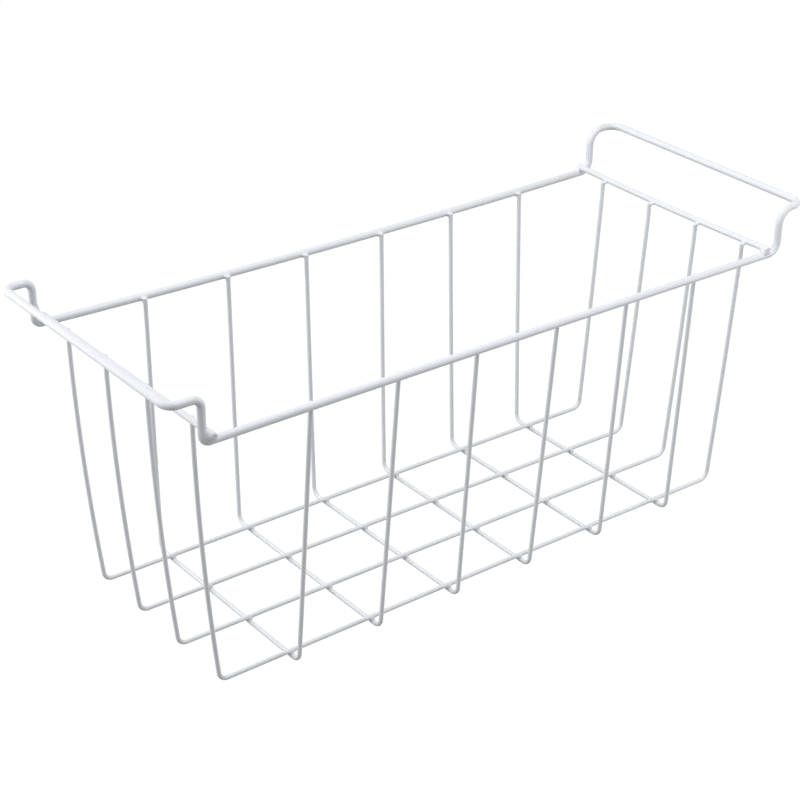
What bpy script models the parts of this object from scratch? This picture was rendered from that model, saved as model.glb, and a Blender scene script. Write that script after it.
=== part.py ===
"""Chest freezer basket: thirteen lengths of coated round wire, welded where they touch.

Metres, +Z up, +X along the basket towards its right end, +Y towards its rear side.
The origin is at the bottom centre, on the surface that the basket stands on.
"""

from math import cos, pi, tan

import bpy
from mathutils import Quaternion, Vector

# Wires, measured over their coating, from flat to flat
FRAME_WIRE = 0.0055
CROSSBAR_WIRE = 0.0046
MESH_WIRE = 0.0032
WELD_CLEARANCE = 0.0003

# Rim frame, measured between the centre lines of its wire
RAIL_SPACING = 0.2075
FRONT_LEG_SPACING = 0.4978
REAR_LEG_SPACING = 0.5022
RIM_HEIGHT = 0.2025
FRONT_RAIL_BOW = 0.0011
REAR_RAIL_BOW = 0.0058
LEFT_FRONT_RISE = 0.0306
LEFT_REAR_RISE = 0.0315
RIGHT_RISE = 0.0332
LEFT_FRONT_REACH = 0.0228
LEFT_REAR_REACH = 0.0206
RIGHT_FRONT_REACH = 0.0231
RIGHT_REAR_REACH = 0.0255
RIGHT_FOOT_BEND = 0.0088
LEFT_LEG_TOP_BEND = 0.0064
RIGHT_LEG_TOP_BEND = 0.0121
LEFT_CORNER_BEND = 0.0074
RIGHT_CORNER_BEND = 0.0105

# Crossbars, lying on the rails at the feet of the handles: the left one's front end fills its foot's bend
LEFT_CROSSBAR_REAR_INSET = 0.0064
RIGHT_CROSSBAR_FRONT_INSET = 0.0121
RIGHT_CROSSBAR_REAR_INSET = 0.0108
RIGHT_CROSSBAR_BOW = 0.0027
LEFT_FRONT_OVERHANG = 0.0060
RIGHT_FRONT_OVERHANG = 0.0031
REAR_OVERHANG = 0.0007

# Mesh: its floor, how far in from the floor's edges the outer wires lie, and its walls; a cross wire's
# tips stand a little above the middle of the rail, a long wire's a little below that of the crossbar
FLOOR_LENGTH = 0.4540
FLOOR_WIDTH = 0.1770
FLOOR_REARWARD = 0.0019
OUTER_CROSS_WIRE_INSET = 0.05575
OUTER_LONG_WIRE_INSET = 0.0129
CROSS_WIRES = 6
LONG_WIRES = 4
FLOOR_BEND = 0.0070
CROSS_TIP_RISE = 0.0008
LONG_TIP_DROP = 0.0010
STRAIGHT_BELOW_RIM = 0.0060
LEFT_WALL_BOW = 0.0025
RIGHT_WALL_BOW = 0.0006
SIDE_WALL_BOW = 0.0003
LONG_WIRE_BOW = 0.0010

# How far each tip and each floor corner stands off its wire's even place, as shares of the pitch, with
# the rear wire or the left wire first
LEFT_TIP_SHARES = (0.03, 0.05, 0.03, -0.03)
LEFT_FLOOR_SHARES = (-0.03, -0.01, -0.02, -0.04)
RIGHT_FLOOR_SHARES = (-0.05, -0.06, -0.05, -0.01)
RIGHT_TIP_SHARES = (-0.15, -0.24, -0.24, -0.18)
FRONT_TIP_SHARES = (0.07, 0.08, 0.04, 0.07, 0.01, -0.03)
FRONT_FLOOR_SHARES = (0.02, 0.02, 0.02, 0.0, 0.01, 0.02)
REAR_FLOOR_SHARES = (0.01, 0.01, 0.02, 0.01, 0.02, 0.03)
REAR_TIP_SHARES = (0.02, 0.0, -0.02, -0.02, -0.04, -0.01)

# Faceting of the round wires, of their bends and of their bowed stretches
MESH_SIDES = 8
FRAME_SIDES = 12
BEND_STEPS = 5
WALL_STEPS = 4
RAIL_STEPS = 12
BOW_STEPS = 6

# Coating: a slightly cool white, semi-gloss
COATING_COLOUR = (0.86, 0.87, 0.89, 1.0)
COATING_ROUGHNESS = 0.32
COATING_METALLIC = 0.0

# Places that follow from the sizes above
CROSS_WIRE_PITCH = (FLOOR_LENGTH - 2 * OUTER_CROSS_WIRE_INSET) / (CROSS_WIRES - 1)
LONG_WIRE_PITCH = (FLOOR_WIDTH - 2 * OUTER_LONG_WIRE_INSET) / (LONG_WIRES - 1)
CROSS_WIRE_Z = MESH_WIRE / 2
LONG_WIRE_Z = CROSS_WIRE_Z + MESH_WIRE + WELD_CLEARANCE
CROSSBAR_Z = RIM_HEIGHT + (FRAME_WIRE + CROSSBAR_WIRE) / 2 + WELD_CLEARANCE
RAIL_TO_MESH = (FRAME_WIRE + MESH_WIRE) / 2 + WELD_CLEARANCE
CROSSBAR_TO_MESH = (CROSSBAR_WIRE + MESH_WIRE) / 2 + WELD_CLEARANCE
LEFT_FOOT_BEND = (FRAME_WIRE + CROSSBAR_WIRE) / 2 + WELD_CLEARANCE


def clear_scene():
    for item in list(bpy.context.scene.objects):
        bpy.data.objects.remove(item)


def new_collection(name):
    collection = bpy.data.collections.new(name)
    bpy.context.scene.collection.children.link(collection)
    return collection


def coating(name):
    """The coating of one wire."""
    material = bpy.data.materials.new(name)
    material.use_nodes = True
    shader = material.node_tree.nodes["Principled BSDF"]
    shader.inputs["Base Color"].default_value = COATING_COLOUR
    shader.inputs["Roughness"].default_value = COATING_ROUGHNESS
    shader.inputs["Metallic"].default_value = COATING_METALLIC
    return material


def new_piece(name, data, collection):
    piece = bpy.data.objects.new(name, data)
    data.materials.append(coating(f"{name}_coating"))
    collection.objects.link(piece)
    return piece


def bend(before, corner, after, radius):
    """Points of the arc that rounds a corner between two straight stretches."""
    arriving = (corner - before).normalized()
    leaving = (after - corner).normalized()
    turn = arriving.angle(leaving)
    axis = arriving.cross(leaving).normalized()
    start = corner - arriving * radius * tan(turn / 2)
    centre = start + axis.cross(arriving) * radius
    arm = start - centre
    return [centre + Quaternion(axis, turn * step / BEND_STEPS) @ arm for step in range(BEND_STEPS + 1)]


def rounded(corners, closed=False):
    """A wire's centre line: corners with a bend radius become arcs, the others stay single points."""
    points = []
    for index, (corner, radius) in enumerate(corners):
        at_end = index in (0, len(corners) - 1) and not closed
        if at_end or radius == 0:
            points.append(corner)
        else:
            after = corners[(index + 1) % len(corners)][0]
            points.extend(bend(corners[index - 1][0], corner, after, radius))
    return points


def wire(name, points, diameter, sides, collection, closed=False):
    """One round wire along a centre line, with flat ends and its facets square to the basket."""
    curve = bpy.data.curves.new(name, "CURVE")
    curve.dimensions = "3D"
    curve.twist_mode = "Z_UP" if closed else "MINIMUM"
    curve.bevel_depth = diameter / 2 / cos(pi / sides)
    curve.bevel_resolution = (sides - 4) // 2
    curve.use_fill_caps = True
    spline = curve.splines.new("POLY")
    spline.points.add(len(points) - 1)
    for target, point in zip(spline.points, points):
        target.co = (*point, 1)
        target.tilt = pi / sides
    spline.use_cyclic_u = closed
    spline.use_smooth = True
    return new_piece(name, curve, collection)


def leg_x(end, side):
    """How far along the basket a leg's centre line stands: end -1 is left, side -1 is front."""
    return end * (FRONT_LEG_SPACING if side < 0 else REAR_LEG_SPACING) / 2


def rail_y(side, x):
    """Where a rail's centre line runs: both rails are drawn in a little towards their middle."""
    bow = FRONT_RAIL_BOW if side < 0 else REAR_RAIL_BOW
    return side * (RAIL_SPACING / 2 - bow * (1 - (x / leg_x(1, side)) ** 2))


def rail(side, direction):
    """The points along one rail between its two feet, in the direction given."""
    shares = [2 * step / RAIL_STEPS - 1 for step in range(1, RAIL_STEPS)]
    places = [direction * leg_x(1, side) * share for share in shares]
    return [(Vector((x, rail_y(side, x), RIM_HEIGHT)), 0) for x in places]


def handle(end, side):
    """The corners from a rail's foot up the leg and out to the hanging bar, at one end of the basket."""
    if end < 0:
        rise, reach = (LEFT_FRONT_RISE, LEFT_FRONT_REACH) if side < 0 else (LEFT_REAR_RISE, LEFT_REAR_REACH)
        foot, leg_top, corner = LEFT_FOOT_BEND, LEFT_LEG_TOP_BEND, LEFT_CORNER_BEND
    else:
        rise, reach = RIGHT_RISE, RIGHT_FRONT_REACH if side < 0 else RIGHT_REAR_REACH
        foot, leg_top, corner = RIGHT_FOOT_BEND, RIGHT_LEG_TOP_BEND, RIGHT_CORNER_BEND
    x = leg_x(end, side)
    y = side * RAIL_SPACING / 2
    return [
        (Vector((x, y, RIM_HEIGHT)), foot),
        (Vector((x, y, RIM_HEIGHT + rise)), leg_top),
        (Vector((x + end * reach, y, RIM_HEIGHT + rise)), corner),
    ]


def top_frame(collection):
    """The closed loop of heavy wire: rails, legs and the two hanging bars."""
    corners = rail(-1, 1) + handle(1, -1) + handle(1, 1)[::-1]
    corners += rail(1, -1) + handle(-1, 1) + handle(-1, -1)[::-1]
    return wire("top_frame", rounded(corners, True), FRAME_WIRE, FRAME_SIDES, collection, True)


def crossbar_x(end, y):
    """Where a crossbar's centre line runs: the right one is drawn in a little towards its middle."""
    share = y / RAIL_SPACING + 1 / 2
    if end < 0:
        front, rear, bow = LEFT_FOOT_BEND, LEFT_CROSSBAR_REAR_INSET, 0
    else:
        front, rear, bow = RIGHT_CROSSBAR_FRONT_INSET, RIGHT_CROSSBAR_REAR_INSET, RIGHT_CROSSBAR_BOW
    front_x = leg_x(end, -1) - end * front
    rear_x = leg_x(end, 1) - end * rear
    return front_x + (rear_x - front_x) * share - end * bow * 4 * share * (1 - share)


def crossbar(name, end, front_overhang, collection):
    front = -RAIL_SPACING / 2 - front_overhang
    rear = RAIL_SPACING / 2 + REAR_OVERHANG
    places = [front + (rear - front) * step / BOW_STEPS for step in range(BOW_STEPS + 1)]
    points = [Vector((crossbar_x(end, y), y, CROSSBAR_Z)) for y in places]
    return wire(name, points, CROSSBAR_WIRE, FRAME_SIDES, collection)


def bowed(start, end, bow, steps):
    """Points between two ends of a stretch that swells by the vector bow at its middle."""
    shares = [step / steps for step in range(1, steps)]
    return [(start.lerp(end, share) + bow * 4 * share * (1 - share), 0) for share in shares]


def wall(tip, bottom, straight, bow):
    """One wall stretch of a mesh wire, from its tip down to its floor corner."""
    knee = tip - Vector((0, 0, straight))
    return [(tip, 0), (knee, 0), *bowed(knee, bottom, bow, WALL_STEPS), (bottom, FLOOR_BEND)]


def long_wire(index, collection):
    """A U from the left crossbar down, along the floor and up to the right crossbar."""
    tables = (LEFT_TIP_SHARES, LEFT_FLOOR_SHARES, RIGHT_FLOOR_SHARES, RIGHT_TIP_SHARES)
    even = (LONG_WIRES + 1) / 2 - index
    places = [LONG_WIRE_PITCH * (even + table[index - 1]) for table in tables]
    left_tip_y, left_y, right_y, right_tip_y = places
    tip_z = CROSSBAR_Z - LONG_TIP_DROP
    straight = tip_z - RIM_HEIGHT + STRAIGHT_BELOW_RIM
    left_tip = Vector((crossbar_x(-1, left_tip_y) + CROSSBAR_TO_MESH, left_tip_y, tip_z))
    right_tip = Vector((crossbar_x(1, right_tip_y) - CROSSBAR_TO_MESH, right_tip_y, tip_z))
    left = Vector((-FLOOR_LENGTH / 2, left_y, LONG_WIRE_Z))
    right = Vector((FLOOR_LENGTH / 2, right_y, LONG_WIRE_Z))
    corners = wall(left_tip, left, straight, Vector((-LEFT_WALL_BOW, 0, 0)))
    corners += bowed(left, right, Vector((0, LONG_WIRE_BOW, 0)), BOW_STEPS)
    corners += wall(right_tip, right, straight, Vector((RIGHT_WALL_BOW, 0, 0)))[::-1]
    return wire(f"long_wire_{index}", rounded(corners), MESH_WIRE, MESH_SIDES, collection)


def cross_wire(index, collection):
    """A U from the front rail down, across the floor and up to the rear rail."""
    tables = (FRONT_TIP_SHARES, FRONT_FLOOR_SHARES, REAR_FLOOR_SHARES, REAR_TIP_SHARES)
    even = index - (CROSS_WIRES + 1) / 2
    places = [CROSS_WIRE_PITCH * (even + table[index - 1]) for table in tables]
    front_tip_x, front_x, rear_x, rear_tip_x = places
    tip_z = RIM_HEIGHT + CROSS_TIP_RISE
    straight = CROSS_TIP_RISE + STRAIGHT_BELOW_RIM
    bow = Vector((0, SIDE_WALL_BOW, 0))
    front_tip = Vector((front_tip_x, rail_y(-1, front_tip_x) + RAIL_TO_MESH, tip_z))
    rear_tip = Vector((rear_tip_x, rail_y(1, rear_tip_x) - RAIL_TO_MESH, tip_z))
    front = Vector((front_x, FLOOR_REARWARD - FLOOR_WIDTH / 2, CROSS_WIRE_Z))
    rear = Vector((rear_x, FLOOR_REARWARD + FLOOR_WIDTH / 2, CROSS_WIRE_Z))
    corners = wall(front_tip, front, straight, -bow)
    corners += wall(rear_tip, rear, straight, bow)[::-1]
    return wire(f"cross_wire_{index}", rounded(corners), MESH_WIRE, MESH_SIDES, collection)


def main():
    clear_scene()
    basket = new_collection("freezer_basket")
    top_frame(basket)
    crossbar("left_crossbar", -1, LEFT_FRONT_OVERHANG, basket)
    crossbar("right_crossbar", 1, RIGHT_FRONT_OVERHANG, basket)
    for index in range(1, LONG_WIRES + 1):
        long_wire(index, basket)
    for index in range(1, CROSS_WIRES + 1):
        cross_wire(index, basket)


main()
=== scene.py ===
"""Looks of the freezer basket: coated round wires with their welds, on a plain pale floor.

Metres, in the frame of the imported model: +X to the right end, +Y to the rear, +Z up.
Each wire runs where its solid does. Here it is round, and its coating fills the crease at each weld.
"""

from math import cos, pi, radians, sin, tan

import bpy
import numpy as np
from mathutils import Matrix, Quaternion, Vector

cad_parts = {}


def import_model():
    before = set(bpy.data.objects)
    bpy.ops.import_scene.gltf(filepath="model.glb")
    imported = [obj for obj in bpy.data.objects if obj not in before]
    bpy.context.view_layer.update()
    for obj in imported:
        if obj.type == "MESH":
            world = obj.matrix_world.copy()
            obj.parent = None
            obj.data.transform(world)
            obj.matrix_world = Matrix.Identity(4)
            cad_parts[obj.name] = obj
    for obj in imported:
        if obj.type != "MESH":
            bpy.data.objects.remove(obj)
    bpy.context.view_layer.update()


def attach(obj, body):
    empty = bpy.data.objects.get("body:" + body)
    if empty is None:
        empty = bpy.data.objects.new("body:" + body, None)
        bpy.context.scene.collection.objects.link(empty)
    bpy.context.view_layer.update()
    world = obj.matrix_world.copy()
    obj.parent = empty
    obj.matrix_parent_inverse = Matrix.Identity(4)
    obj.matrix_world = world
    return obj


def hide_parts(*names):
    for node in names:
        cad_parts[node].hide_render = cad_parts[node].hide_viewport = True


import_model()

# Wires, over their coating
FRAME_RADIUS = 0.00275
CROSSBAR_RADIUS = 0.0023
MESH_RADIUS = 0.0016
WELD_CLEARANCE = 0.0003

# Rim frame, between centre lines, with its bends at the foot, the top of the leg and the bar's corner
RAIL_SPACING = 0.2075
FRONT_LEG_SPACING = 0.4978
REAR_LEG_SPACING = 0.5022
RIM_HEIGHT = 0.2025
FRONT_RAIL_BOW = 0.0011
REAR_RAIL_BOW = 0.0058
LEFT_FRONT_RISE = 0.0306
LEFT_REAR_RISE = 0.0315
RIGHT_RISE = 0.0332
LEFT_FRONT_REACH = 0.0228
LEFT_REAR_REACH = 0.0206
RIGHT_FRONT_REACH = 0.0231
RIGHT_REAR_REACH = 0.0255
LEFT_FOOT_BEND = FRAME_RADIUS + CROSSBAR_RADIUS + WELD_CLEARANCE
LEFT_BENDS = (LEFT_FOOT_BEND, 0.0064, 0.0074)
RIGHT_BENDS = (0.0088, 0.0121, 0.0105)

# Crossbars
CROSSBAR_Z = RIM_HEIGHT + FRAME_RADIUS + CROSSBAR_RADIUS + WELD_CLEARANCE
LEFT_CROSSBAR_REAR_INSET = 0.0064
RIGHT_CROSSBAR_FRONT_INSET = 0.0121
RIGHT_CROSSBAR_REAR_INSET = 0.0108
RIGHT_CROSSBAR_BOW = 0.0027
LEFT_FRONT_OVERHANG = 0.0060
RIGHT_FRONT_OVERHANG = 0.0031
REAR_OVERHANG = 0.0007

# Mesh
LONG_WIRES = 4
CROSS_WIRES = 6
FLOOR_LENGTH = 0.4540
FLOOR_WIDTH = 0.1770
FLOOR_REARWARD = 0.0019
CROSS_WIRE_PITCH = 0.0685
LONG_WIRE_PITCH = 0.0504
CROSS_WIRE_Z = MESH_RADIUS
LONG_WIRE_Z = 3 * MESH_RADIUS + WELD_CLEARANCE
FLOOR_BEND = 0.0070
STRAIGHT_BELOW_RIM = 0.0060
LEFT_WALL_BOW = 0.0025
RIGHT_WALL_BOW = 0.0006
SIDE_WALL_BOW = 0.0003
LONG_WIRE_BOW = 0.0010
RAIL_TO_MESH = FRAME_RADIUS + MESH_RADIUS + WELD_CLEARANCE
CROSSBAR_TO_MESH = CROSSBAR_RADIUS + MESH_RADIUS + WELD_CLEARANCE
CROSS_TIP_RISE = 0.0008
LONG_TIP_DROP = 0.0010
CROSS_TIP_Z = RIM_HEIGHT + CROSS_TIP_RISE
LONG_TIP_Z = CROSSBAR_Z - LONG_TIP_DROP

# Offsets of tips and floor corners as shares of the pitch, from rear to front or from left to right
LEFT_TIP_SHARES = (0.03, 0.05, 0.03, -0.03)
LEFT_FLOOR_SHARES = (-0.03, -0.01, -0.02, -0.04)
RIGHT_FLOOR_SHARES = (-0.05, -0.06, -0.05, -0.01)
RIGHT_TIP_SHARES = (-0.15, -0.24, -0.24, -0.18)
FRONT_TIP_SHARES = (0.07, 0.08, 0.04, 0.07, 0.01, -0.03)
FRONT_FLOOR_SHARES = (0.02, 0.02, 0.02, 0.0, 0.01, 0.02)
REAR_FLOOR_SHARES = (0.01, 0.01, 0.02, 0.01, 0.02, 0.03)
REAR_TIP_SHARES = (0.02, 0.0, -0.02, -0.02, -0.04, -0.01)

# Welds: the widest gap that is one, how far the coating runs into the crease, and how thick and deep
WELD_GAP = 0.0009
WELD_BLEND = 0.0030
LEFT_CROSSBAR_WELD_BLEND = 0.0060
RIGHT_CROSSBAR_WELD_BLEND = 0.0040
MAX_SWELL = 0.0030
SWELL_STEP = 0.00005
SINK = 0.0006
TONE_PER_BLEND = 4

# Rings: how far past a weld they stay close together, and how close
WELD_MARGIN = 0.0065
WELD_RING_STEP = 0.00035
LEAST_RING_STEP = WELD_RING_STEP * 0.45
LONGEST_STEP = 0.012
PLACE_DIGITS = 7
MARK_STEP = 0.001
NEARLY_UPRIGHT = 0.1

# Ends: the dome's height as a share of the radius, and outlines as shares of the radius and that height
DOME_SHARE = 0.45
SHOULDER_DEGREES = (25, 45, 62)
DOME_OUTLINE = ((0.51, 0.97), (0.30, 1.0))
DOME_PEAK = 1.01
DIMPLE_OUTLINE = ((0.60, 0.91), (0.50, 0.90), (0.38, 0.88), (0.24, 0.86), (0.12, 0.85))
DIMPLE_PEAK = 0.85
# Painted shade of a dimple: the last ring of an end without it, and over how many rings it deepens
LAST_RING_BEFORE_PAINTED_SHADE = 3
PAINTED_SHADE_RINGS = 2

# Smoothness
BEND_STEPS = 14
BOW_STEPS = 24
RAIL_STEPS = 48
MESH_SIDES = 20
FRAME_SIDES = 28

# Coating: its shades, and how bright it is in patches and on full welds, and the painted shade of a dimpled
# end
FRAME_SHADE = (0.80, 0.815, 0.84)
MESH_SHADE = (0.80, 0.815, 0.835)
PATCH_SHARE = 0.975
FULL_SHARE = 1.03
PAINTED_SHADE_SHARE = 0.84
COATING_IOR = 1.5
ROUGHNESS_RANGE = (0.30, 0.46)

# Patterns of the coating: their scales count per metre
PATTERN_SHIFT = (0.37, 0.61, 0.13)
PATCH_SCALE = 42.0
PATCH_DETAIL = 3.0
PATCH_RANGE = (0.32, 0.68)
DULL_SCALE = 160.0
DULL_DETAIL = 2.0
PEEL_SCALE = 620.0
PEEL_DETAIL = 2.0
PEEL_STRENGTH = 0.05
PEEL_DEPTH = 0.00012

# Ground and surroundings
GROUND_SIZE = 12
GROUND_DROP = 0.0002
GROUND_COLOUR = (0.20, 0.20, 0.20, 1)
GROUND_GLOW = 1.23
GLOW_SHARE = 0.80
STUDIO_COLOUR = (0.965, 0.98, 1.0, 1)
STUDIO_STRENGTH = 0.48
WHITE = (1, 1, 1, 1)

# Lamps: each one's name, place, size and radiance
LAMP_COLOUR = (0.985, 0.992, 1.0)
LAMP_TARGET = Vector((0, 0, 0.1))
LAMPS = (
    ("rear_left_low", (-0.557, 0.557, 0.239), (0.45, 0.45), 2.71),
    ("front_right_low", (0.557, -0.557, 0.239), (0.45, 0.45), 2.30),
    ("overhead", (0.0, 0.0, 0.9), (0.45, 0.45), 2.70),
    ("front_high", (0.0, -0.4, 0.793), (0.45, 0.45), 1.53),
    ("far_left", (-2.04, 0.68, 0.9), (3.2, 0.7), 3.71),
)

# Camera, its angles in degrees and its focal length in the picture's pixels
CAMERA_PLACE = (-0.7760, -0.9789, 0.7608)
CAMERA_YAW = 37.686
CAMERA_PITCH = -27.464
CAMERA_ROLL = 0.727
FOCAL_PIXELS = 1935.35
PICTURE_PIXELS = 800
SENSOR_WIDTH = 36.0
NEAREST_SEEN = 0.05


def bend(before, corner, after, radius):
    """Points of the arc that rounds a corner between two straight stretches."""
    arriving = (corner - before).normalized()
    leaving = (after - corner).normalized()
    turn = arriving.angle(leaving)
    axis = arriving.cross(leaving).normalized()
    start = corner - arriving * radius * tan(turn / 2)
    centre = start + axis.cross(arriving) * radius
    arm = start - centre
    return [centre + Quaternion(axis, turn * step / BEND_STEPS) @ arm for step in range(BEND_STEPS + 1)]


def rounded(corners, closed=False):
    """A wire's centre line: corners with a bend radius become arcs, the others stay single points."""
    points = []
    for index, (corner, radius) in enumerate(corners):
        at_end = index in (0, len(corners) - 1) and not closed
        if at_end or radius == 0:
            points.append(corner)
        else:
            after = corners[(index + 1) % len(corners)][0]
            points.extend(bend(corners[index - 1][0], corner, after, radius))
    return np.array([tuple(point) for point in points])


def leg_x(end, side):
    """Where a leg stands: end is 1 at the right and -1 at the left, side 1 at the rear and -1 in front."""
    return end * (FRONT_LEG_SPACING if side < 0 else REAR_LEG_SPACING) / 2


def rail_y(side, x):
    """Where a rail's centre line runs: both rails are drawn in a little towards their middle."""
    bow = FRONT_RAIL_BOW if side < 0 else REAR_RAIL_BOW
    return side * (RAIL_SPACING / 2 - bow * (1 - (x / leg_x(1, side)) ** 2))


def rail(side, direction):
    """Points along a rail, short of the bends at its two ends."""
    shares = [2 * step / RAIL_STEPS - 1 for step in range(2, RAIL_STEPS - 1)]
    places = [direction * leg_x(1, side) * share for share in shares]
    return [(Vector((x, rail_y(side, x), RIM_HEIGHT)), 0) for x in places]


def handle(end, side):
    """Corners of one arm of a handle with their bends: from the rail up the leg and out to the bar."""
    if end < 0:
        rise, reach = (LEFT_FRONT_RISE, LEFT_FRONT_REACH) if side < 0 else (LEFT_REAR_RISE, LEFT_REAR_REACH)
        foot, leg_top, corner = LEFT_BENDS
    else:
        rise, reach = RIGHT_RISE, RIGHT_FRONT_REACH if side < 0 else RIGHT_REAR_REACH
        foot, leg_top, corner = RIGHT_BENDS
    x = leg_x(end, side)
    y = side * RAIL_SPACING / 2
    return [
        (Vector((x, y, RIM_HEIGHT)), foot),
        (Vector((x, y, RIM_HEIGHT + rise)), leg_top),
        (Vector((x + end * reach, y, RIM_HEIGHT + rise)), corner),
    ]


def frame_line():
    """The frame's closed centre line: front rail, right handle, rear rail and left handle."""
    corners = rail(-1, 1) + handle(1, -1) + handle(1, 1)[::-1]
    corners += rail(1, -1) + handle(-1, 1) + handle(-1, -1)[::-1]
    return rounded(corners, True)


def crossbar_x(end, y):
    """Where a crossbar's centre line runs: the right one is drawn in a little at its middle."""
    share = y / RAIL_SPACING + 1 / 2
    if end < 0:
        front, rear, bow = LEFT_FOOT_BEND, LEFT_CROSSBAR_REAR_INSET, 0
    else:
        front, rear, bow = RIGHT_CROSSBAR_FRONT_INSET, RIGHT_CROSSBAR_REAR_INSET, RIGHT_CROSSBAR_BOW
    front_x = leg_x(end, -1) - end * front
    rear_x = leg_x(end, 1) - end * rear
    return front_x + (rear_x - front_x) * share - end * bow * 4 * share * (1 - share)


def crossbar_line(end, front_overhang):
    """A crossbar's centre line, from its front tip to its rear tip."""
    front = -RAIL_SPACING / 2 - front_overhang
    rear = RAIL_SPACING / 2 + REAR_OVERHANG
    places = [front + (rear - front) * step / BOW_STEPS for step in range(BOW_STEPS + 1)]
    return np.array([(crossbar_x(end, y), y, CROSSBAR_Z) for y in places])


def bowed(start, end, bow):
    """Points between two places, drawn aside by the bow at their middle."""
    shares = [step / BOW_STEPS for step in range(1, BOW_STEPS)]
    return [(start.lerp(end, share) + bow * 4 * share * (1 - share), 0) for share in shares]


def wall(tip, bottom, straight, bow):
    """A mesh wire from its tip, straight down a little way, then bowed down to its floor bend."""
    knee = tip - Vector((0, 0, straight))
    return [(tip, 0), (knee, 0), *bowed(knee, bottom, bow), (bottom, FLOOR_BEND)]


def long_line(index):
    """A long wire's centre line, from its left tip along the floor to its right tip."""
    tables = (LEFT_TIP_SHARES, LEFT_FLOOR_SHARES, RIGHT_FLOOR_SHARES, RIGHT_TIP_SHARES)
    middle = (LONG_WIRES + 1) / 2
    places = [LONG_WIRE_PITCH * (middle - index + table[index - 1]) for table in tables]
    left_tip_y, left_y, right_y, right_tip_y = places
    straight = LONG_TIP_Z - RIM_HEIGHT + STRAIGHT_BELOW_RIM
    left_tip = Vector((crossbar_x(-1, left_tip_y) + CROSSBAR_TO_MESH, left_tip_y, LONG_TIP_Z))
    right_tip = Vector((crossbar_x(1, right_tip_y) - CROSSBAR_TO_MESH, right_tip_y, LONG_TIP_Z))
    left = Vector((-FLOOR_LENGTH / 2, left_y, LONG_WIRE_Z))
    right = Vector((FLOOR_LENGTH / 2, right_y, LONG_WIRE_Z))
    corners = wall(left_tip, left, straight, Vector((-LEFT_WALL_BOW, 0, 0)))
    corners += bowed(left, right, Vector((0, LONG_WIRE_BOW, 0)))
    corners += wall(right_tip, right, straight, Vector((RIGHT_WALL_BOW, 0, 0)))[::-1]
    return rounded(corners)


def cross_line(index):
    """A cross wire's centre line, from its front tip across the floor to its rear tip."""
    tables = (FRONT_TIP_SHARES, FRONT_FLOOR_SHARES, REAR_FLOOR_SHARES, REAR_TIP_SHARES)
    middle = (CROSS_WIRES + 1) / 2
    places = [CROSS_WIRE_PITCH * (index - middle + table[index - 1]) for table in tables]
    front_tip_x, front_x, rear_x, rear_tip_x = places
    straight = CROSS_TIP_Z - RIM_HEIGHT + STRAIGHT_BELOW_RIM
    bow = Vector((0, SIDE_WALL_BOW, 0))
    front_tip = Vector((front_tip_x, rail_y(-1, front_tip_x) + RAIL_TO_MESH, CROSS_TIP_Z))
    rear_tip = Vector((rear_tip_x, rail_y(1, rear_tip_x) - RAIL_TO_MESH, CROSS_TIP_Z))
    front = Vector((front_x, FLOOR_REARWARD - FLOOR_WIDTH / 2, CROSS_WIRE_Z))
    rear = Vector((rear_x, FLOOR_REARWARD + FLOOR_WIDTH / 2, CROSS_WIRE_Z))
    corners = wall(front_tip, front, straight, -bow)
    corners += wall(rear_tip, rear, straight, bow)[::-1]
    return rounded(corners)


def lengths_along(points, closed=False):
    """A line, with its first point again at its end if closed, and each point's distance along it."""
    loop = np.vstack([points, points[:1]]) if closed else points
    steps = np.linalg.norm(np.diff(loop, axis=0), axis=1)
    return loop, np.concatenate([[0.0], np.cumsum(steps)])


def at(points, places, closed=False):
    """The points of a line at the given distances along it."""
    loop, along = lengths_along(points, closed)
    return np.column_stack([np.interp(places, along, loop[:, axis]) for axis in range(3)])


def distance_to_line(spots, line):
    """Shortest distance from each spot to a line of straight stretches."""
    best = np.full(spots.shape[:-1], np.inf)
    for start, end in zip(line[:-1], line[1:]):
        stretch = end - start
        share = np.clip((spots - start) @ stretch / (stretch @ stretch), 0, 1)
        gap = np.linalg.norm(spots - start - share[..., None] * stretch, axis=-1)
        best = np.minimum(best, gap)
    return best


def unit_rows(rows):
    return rows / np.linalg.norm(rows, axis=1)[:, None]


def ring_faces(count, sides, closed):
    """Faces between the rings of a wire, and from an open wire's end rings to its last two points."""
    faces = []
    for row in range(count if closed else count - 1):
        low = row * sides
        high = (row + 1) % count * sides
        for side in range(sides):
            after = (side + 1) % sides
            faces.append((low + side, low + after, high + after, high + side))
    if not closed:
        last_ring = (count - 1) * sides
        first_peak = count * sides
        for side in range(sides):
            after = (side + 1) % sides
            faces.append((first_peak, after, side))
            faces.append((first_peak + 1, last_ring + side, last_ring + after))
    return faces


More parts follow.
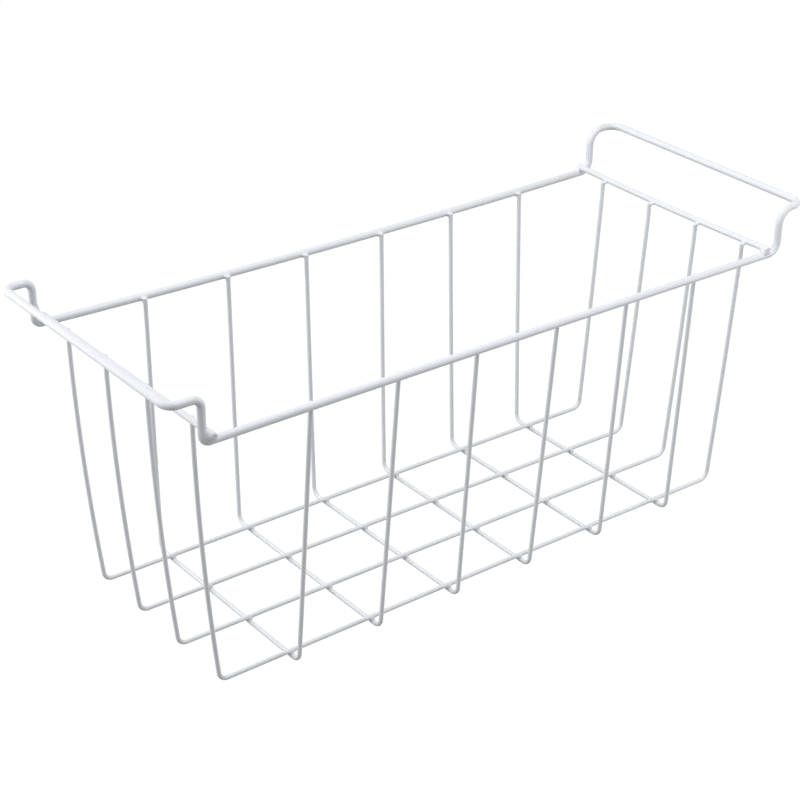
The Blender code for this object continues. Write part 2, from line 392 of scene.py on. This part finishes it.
class Wire:
    """One wire: its centre line, its radius, what its two ends look like and how wide its welds are."""

    def __init__(self, name, line, radius, closed=False, ends=("dome", "dome"), blend=WELD_BLEND):
        self.name = name
        self.line = line
        self.radius = radius
        self.closed = closed
        self.ends = ends
        self.blend = blend
        self.sides = MESH_SIDES if radius == MESH_RADIUS else FRAME_SIDES
        self.along = lengths_along(line, closed)[1]
        self.length = self.along[-1]
        self.marks = np.linspace(0, self.length, int(self.length / MARK_STEP))
        self.mark_points = at(line, self.marks, closed)
        self.welds = []

    def meet(self, other):
        """Finds the stretches of this wire that lie against another one."""
        reach = self.radius + other.radius + WELD_GAP
        square = (self.mark_points ** 2).sum(1)[:, None] + (other.mark_points ** 2).sum(1)[None]
        near = square - 2 * self.mark_points @ other.mark_points.T
        close = np.sqrt(np.maximum(near, 0)).min(1) < reach
        runs = np.flatnonzero(np.diff(np.concatenate([[0], close.astype(int), [0]])))
        for first, last in zip(runs[::2], runs[1::2]):
            low = self.marks[first] - WELD_MARGIN
            high = self.marks[last - 1] + WELD_MARGIN
            centre = self.mark_points[(first + last - 1) // 2]
            half = (high - low) / 2 + WELD_MARGIN
            spread = np.linalg.norm(other.mark_points - centre, axis=1) < half
            # The distance to a line is round past its end, so a tip's last marks would reach too far
            from_end = np.minimum(other.marks, other.length - other.marks)
            picks = np.flatnonzero(spread & ((from_end >= other.radius) | other.closed))
            partner = other.mark_points[picks[0]:picks[-1] + 1]
            heavy = MESH_RADIUS not in (self.radius, other.radius)
            blend = max(self.blend, other.blend) if heavy else WELD_BLEND
            self.welds.append((low, high, partner, other.radius, blend))

    def places(self):
        """Where the rings go: close together at the welds, and at each point of the bends."""
        tip = 0 if self.closed else self.radius * DOME_SHARE
        start, end = tip, self.length - tip
        spots = list(self.along[(self.along > start) & (self.along < end)]) + [start, end]
        for low, high, *_ in self.welds:
            spots += list(np.arange(max(low, start), min(high, end), WELD_RING_STEP))
        spots = np.unique(np.round(spots, PLACE_DIGITS))
        kept = [spots[0]]
        for spot in spots[1:]:
            if spot - kept[-1] >= LEAST_RING_STEP:
                kept.append(spot)
        kept[-1] = spots[-1]
        full = [kept[0]]
        for spot in kept[1:]:
            parts = max(1, int(np.ceil((spot - full[-1]) / LONGEST_STEP)))
            full += list(np.linspace(full[-1], spot, parts + 1)[1:])
        if self.closed:
            full = full[:-1]
        return np.array(full)

    def rings(self):
        """Ring places, centres and directions, and the two axes that each ring is drawn in."""
        places = self.places()
        centres = at(self.line, places, self.closed)
        if self.closed:
            ahead = np.roll(centres, -1, 0) - centres
            behind = centres - np.roll(centres, 1, 0)
        else:
            steps = np.diff(centres, axis=0)
            ahead = np.vstack([steps, steps[-1:]])
            behind = np.vstack([steps[:1], steps])
        tangents = unit_rows(unit_rows(ahead) + unit_rows(behind))
        first = np.cross(tangents[0], (0.0, 0.0, 1.0))
        if np.linalg.norm(first) < NEARLY_UPRIGHT:
            first = np.cross(tangents[0], (0.0, 1.0, 0.0))
        across = np.empty_like(centres)
        across[0] = first / np.linalg.norm(first)
        for index in range(1, len(centres)):
            side = across[index - 1] - tangents[index] * (across[index - 1] @ tangents[index])
            across[index] = side / np.linalg.norm(side)
        return places, centres, tangents, across, np.cross(tangents, across)

    def swell(self, places, centres, directions):
        """How far the coating reaches from the centre line, with the crease at each weld filled."""
        reach = np.full(directions.shape[:2], self.radius)
        own = np.arange(0, MAX_SWELL, SWELL_STEP)[None, None, :]
        for low, high, partner, partner_radius, blend in self.welds:
            rows = np.flatnonzero((places >= low) & (places <= high))
            if len(rows) == 0:
                continue
            outward = directions[rows][:, :, None, :] * (self.radius + own[..., None])
            other = distance_to_line(centres[rows][:, None, None, :] + outward, partner) - partner_radius
            # The fill ends where the smaller of the two distances, blended, comes to nothing
            mix = np.maximum(blend - np.abs(own - other), 0) / blend
            field = np.minimum(own, other) - mix ** 2 * blend / 4
            field = np.maximum(field, -SINK - other)
            outside = field >= 0
            outside[..., -1] = True
            stop = outside.argmax(-1)
            before = np.maximum(stop - 1, 0)
            high_field = np.take_along_axis(field, stop[..., None], -1)[..., 0]
            low_field = np.take_along_axis(field, before[..., None], -1)[..., 0]
            gap = np.where(high_field > low_field, high_field - low_field, 1)
            share = np.where(stop > 0, np.clip(-low_field / gap, 0, 1), 0)
            grown = self.radius + (before + share) * SWELL_STEP
            reach[rows] = np.maximum(reach[rows], grown)
        return reach

    def end_cap(self, centre, outward, directions, skin, tone, style):
        """Rings that close an open end, low and domed or dimpled, their weld tones or painted shade, and the
        middle point.
        """
        domed = style == "dome"
        outline = [(cos(angle) ** 0.5, sin(angle)) for angle in np.radians(SHOULDER_DEGREES)]
        outline += DOME_OUTLINE if domed else DIMPLE_OUTLINE
        dome = self.radius * DOME_SHARE
        rings = []
        tones = []
        for step, (wide, rise) in enumerate(outline):
            # The swelling of a weld dies out towards the middle of the end
            swelled = max(0, 2 * wide - 1)
            reach = (skin - centre) * swelled + directions * self.radius * (1 - swelled)
            rings.append(centre + outward * dome * rise + reach * wide)
            # The dimple's dark spot is painted shade on a nearly flat cap, a tone below nothing
            painted_shade = min(0, LAST_RING_BEFORE_PAINTED_SHADE - step) / PAINTED_SHADE_RINGS
            tones.append(tone if domed else np.full(self.sides, painted_shade))
        return rings, tones, centre + outward * dome * (DOME_PEAK if domed else DIMPLE_PEAK)

    def build(self, material):
        """Makes the wire's mesh: rings along it, and caps on its open ends."""
        places, centres, tangents, across, upright = self.rings()
        turns = np.arange(self.sides) * 2 * pi / self.sides
        directions = across[:, None] * np.cos(turns)[None, :, None]
        directions = directions + upright[:, None] * np.sin(turns)[None, :, None]
        reach = self.swell(places, centres, directions)
        skin = centres[:, None] + directions * reach[..., None]
        rings = list(skin)
        tones = list((reach - self.radius) / WELD_BLEND * TONE_PER_BLEND)
        peaks = []
        peak_tones = []
        if self.closed:
            self.check_seam(skin)
        else:
            first, first_tones, first_peak = self.end_cap(
                centres[0], -tangents[0], directions[0], skin[0], tones[0], self.ends[0]
            )
            last, last_tones, last_peak = self.end_cap(
                centres[-1], tangents[-1], directions[-1], skin[-1], tones[-1], self.ends[1]
            )
            rings = first[::-1] + rings + last
            tones = first_tones[::-1] + tones + last_tones
            peaks = [first_peak, last_peak]
            peak_tones = [first_tones[-1][:1], last_tones[-1][:1]]
        mesh = bpy.data.meshes.new(self.name)
        faces = ring_faces(len(rings), self.sides, self.closed)
        mesh.from_pydata(np.vstack(rings + peaks).tolist(), [], faces)
        mesh.polygons.foreach_set("use_smooth", [True] * len(mesh.polygons))
        layer = mesh.attributes.new("weld", "FLOAT", "POINT")
        layer.data.foreach_set("value", np.clip(np.concatenate(tones + peak_tones), -1, 1))
        mesh.materials.append(material)
        mesh.update()
        piece = bpy.data.objects.new(self.name, mesh)
        bpy.context.collection.objects.link(piece)
        return piece

    def check_seam(self, skin):
        """Stops if the last ring of a closed wire is turned against its first one."""
        turned = [np.roll(skin[-1], -step, 0) for step in range(self.sides)]
        gaps = [np.linalg.norm(ring - skin[0], axis=1).sum() for ring in turned]
        step = int(np.argmin(gaps))
        if step:
            raise ValueError(f"the closed wire's rings are turned by {step} sides at its seam")


def noise(nodes, links, pattern, scale, detail):
    texture = nodes.new("ShaderNodeTexNoise")
    texture.inputs["Scale"].default_value = scale
    texture.inputs["Detail"].default_value = detail
    links.new(pattern, texture.inputs["Vector"])
    return texture.outputs["Fac"]


def tinted(nodes, links, factor, base, shade):
    """The base colour, turned to another shade as far as the factor says."""
    tint = nodes.new("ShaderNodeMix")
    tint.data_type = "RGBA"
    tint.inputs["B"].default_value = (*shade, 1)
    links.new(factor, tint.inputs["Factor"])
    links.new(base, tint.inputs["A"])
    return tint.outputs["Result"]


def coating_material(name, shade, seed):
    """Plastic coating: a cool white skin with faint patches, duller spots and a faint orange-peel."""
    material = bpy.data.materials.new(name)
    material.use_nodes = True
    nodes = material.node_tree.nodes
    links = material.node_tree.links
    shader = nodes["Principled BSDF"]
    shader.inputs["IOR"].default_value = COATING_IOR
    shader.inputs["Metallic"].default_value = 0.0
    place = nodes.new("ShaderNodeTexCoord")
    shift = nodes.new("ShaderNodeMapping")
    shift.inputs["Location"].default_value = [seed * share for share in PATTERN_SHIFT]
    links.new(place.outputs["Object"], shift.inputs["Vector"])
    pattern = shift.outputs["Vector"]

    patches = nodes.new("ShaderNodeValToRGB")
    shaded, plain = patches.color_ramp.elements
    shaded.position, plain.position = PATCH_RANGE
    shaded.color = (*[value * PATCH_SHARE for value in shade], 1)
    plain.color = (*shade, 1)
    links.new(noise(nodes, links, pattern, PATCH_SCALE, PATCH_DETAIL), patches.inputs["Fac"])

    # The coating is lighter on a full weld, a tone above nothing, and a dimpled end gets painted shade, a
    # tone below
    weld = nodes.new("ShaderNodeAttribute")
    weld.attribute_name = "weld"
    painted_shade = nodes.new("ShaderNodeMath")
    painted_shade.operation = "MULTIPLY"
    painted_shade.use_clamp = True
    painted_shade.inputs[1].default_value = -1
    links.new(weld.outputs["Fac"], painted_shade.inputs[0])
    full_shade = [min(1, value * FULL_SHARE) for value in shade]
    painted_shade_colour = [value * PAINTED_SHADE_SHARE for value in shade]
    fuller = tinted(nodes, links, weld.outputs["Fac"], patches.outputs["Color"], full_shade)
    colour_with_painted_shade = tinted(nodes, links, painted_shade.outputs[0], fuller, painted_shade_colour)
    links.new(colour_with_painted_shade, shader.inputs["Base Color"])

    rough = nodes.new("ShaderNodeMapRange")
    rough.inputs["To Min"].default_value, rough.inputs["To Max"].default_value = ROUGHNESS_RANGE
    links.new(noise(nodes, links, pattern, DULL_SCALE, DULL_DETAIL), rough.inputs["Value"])
    links.new(rough.outputs["Result"], shader.inputs["Roughness"])

    bump = nodes.new("ShaderNodeBump")
    bump.inputs["Strength"].default_value = PEEL_STRENGTH
    bump.inputs["Distance"].default_value = PEEL_DEPTH
    links.new(noise(nodes, links, pattern, PEEL_SCALE, PEEL_DETAIL), bump.inputs["Height"])
    links.new(bump.outputs["Normal"], shader.inputs["Normal"])
    return material


def make_wires():
    """All the wires, each with the welds that join it to the others."""
    left = crossbar_line(-1, LEFT_FRONT_OVERHANG)
    right = crossbar_line(1, RIGHT_FRONT_OVERHANG)
    ends = ("dimple", "dome")
    wires = [
        Wire("top_frame", frame_line(), FRAME_RADIUS, closed=True),
        Wire("left_crossbar", left, CROSSBAR_RADIUS, ends=ends, blend=LEFT_CROSSBAR_WELD_BLEND),
        Wire("right_crossbar", right, CROSSBAR_RADIUS, ends=ends, blend=RIGHT_CROSSBAR_WELD_BLEND),
    ]
    for index in range(1, LONG_WIRES + 1):
        wires.append(Wire(f"long_wire_{index}", long_line(index), MESH_RADIUS))
    for index in range(1, CROSS_WIRES + 1):
        wires.append(Wire(f"cross_wire_{index}", cross_line(index), MESH_RADIUS))
    for wire in wires:
        for other in wires:
            if other is not wire:
                wire.meet(other)
    return wires


def dress(wires):
    """Puts each wire's mesh and coating in the place of its solid."""
    heavy = coating_material("frame_coating", FRAME_SHADE, seed=1)
    light = coating_material("mesh_coating", MESH_SHADE, seed=2)
    for wire in wires:
        fine = wire.radius == MESH_RADIUS
        piece = wire.build(light if fine else heavy)
        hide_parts(wire.name)
        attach(piece, "root")


def larger(nodes, links, first, second):
    maximum = nodes.new("ShaderNodeMath")
    maximum.operation = "MAXIMUM"
    links.new(first, maximum.inputs[0])
    links.new(second, maximum.inputs[1])
    return maximum.outputs[0]


def seen_as_white(nodes, links):
    """A factor of 1 for what the camera sees directly, in gloss or through glass, and 0 for other light."""
    path = nodes.new("ShaderNodeLightPath")
    seen = larger(nodes, links, path.outputs["Is Camera Ray"], path.outputs["Is Glossy Ray"])
    return larger(nodes, links, seen, path.outputs["Is Transmission Ray"])


def mix_into(nodes, links, factor, first, second, output):
    """Mixes two shaders by the factor, into a new output node."""
    mix = nodes.new("ShaderNodeMixShader")
    links.new(factor, mix.inputs["Fac"])
    links.new(first.outputs[0], mix.inputs[1])
    links.new(second.outputs[0], mix.inputs[2])
    out = nodes.new(output)
    links.new(mix.outputs[0], out.inputs["Surface"])


def floor():
    """A pale floor that reads as white to the camera and still takes a soft shadow."""
    bpy.ops.mesh.primitive_plane_add(size=GROUND_SIZE, location=(0, 0, -GROUND_DROP))
    plane = bpy.context.object
    plane.name = "floor"
    material = bpy.data.materials.new("floor")
    material.use_nodes = True
    nodes = material.node_tree.nodes
    links = material.node_tree.links
    nodes.clear()
    share = nodes.new("ShaderNodeMath")
    share.operation = "MULTIPLY"
    share.inputs[1].default_value = GLOW_SHARE
    links.new(seen_as_white(nodes, links), share.inputs[0])
    matt = nodes.new("ShaderNodeBsdfDiffuse")
    matt.inputs["Color"].default_value = GROUND_COLOUR
    glow = nodes.new("ShaderNodeEmission")
    glow.inputs["Color"].default_value = WHITE
    glow.inputs["Strength"].default_value = GROUND_GLOW
    mix_into(nodes, links, share.outputs[0], matt, glow, "ShaderNodeOutputMaterial")
    # The glow is only seen and lights nothing matt, so it isn't sampled as a lamp
    material.cycles.emission_sampling = "NONE"
    plane.data.materials.append(material)


def world():
    """White to the camera, a dim even studio to everything else."""
    surroundings = bpy.data.worlds.new("studio")
    bpy.context.scene.world = surroundings
    surroundings.use_nodes = True
    nodes = surroundings.node_tree.nodes
    links = surroundings.node_tree.links
    nodes.clear()
    dim = nodes.new("ShaderNodeBackground")
    dim.inputs["Color"].default_value = STUDIO_COLOUR
    dim.inputs["Strength"].default_value = STUDIO_STRENGTH
    white = nodes.new("ShaderNodeBackground")
    white.inputs["Color"].default_value = WHITE
    white.inputs["Strength"].default_value = 1.0
    mix_into(nodes, links, seen_as_white(nodes, links), dim, white, "ShaderNodeOutputWorld")


def softbox(name, place, size, radiance):
    """A rectangular lamp that faces the basket, with its first side square to the Y axis."""
    data = bpy.data.lights.new(name, "AREA")
    data.shape = "RECTANGLE"
    data.size, data.size_y = size
    data.energy = radiance * pi * data.size * data.size_y
    data.color = LAMP_COLOUR
    lamp = bpy.data.objects.new(name, data)
    facing = (LAMP_TARGET - Vector(place)).normalized()
    along = facing.cross(Vector((0, 1, 0))).normalized()
    columns = Matrix((along, along.cross(facing), -facing)).transposed()
    lamp.matrix_world = Matrix.Translation(place) @ columns.to_4x4()
    lamp.visible_camera = False
    bpy.context.collection.objects.link(lamp)


def camera():
    """The photograph's viewpoint."""
    yaw, pitch, roll = radians(CAMERA_YAW), radians(CAMERA_PITCH), radians(CAMERA_ROLL)
    ahead = Vector((sin(yaw) * cos(pitch), cos(yaw) * cos(pitch), sin(pitch)))
    right = Vector((cos(yaw), -sin(yaw), 0))
    up = right.cross(ahead)
    turned_right = right * cos(roll) + up * sin(roll)
    turned_up = up * cos(roll) - right * sin(roll)
    data = bpy.data.cameras.new("camera")
    data.sensor_width = SENSOR_WIDTH
    data.lens = SENSOR_WIDTH * FOCAL_PIXELS / PICTURE_PIXELS
    data.clip_start = NEAREST_SEEN
    view = bpy.data.objects.new("camera", data)
    columns = Matrix((turned_right, turned_up, -ahead)).transposed()
    view.matrix_world = Matrix.Translation(CAMERA_PLACE) @ columns.to_4x4()
    bpy.context.collection.objects.link(view)
    bpy.context.scene.camera = view


def main():
    dress(make_wires())
    floor()
    world()
    for lamp in LAMPS:
        softbox(*lamp)
    camera()
    bpy.context.scene.view_settings.view_transform = "Standard"


main()
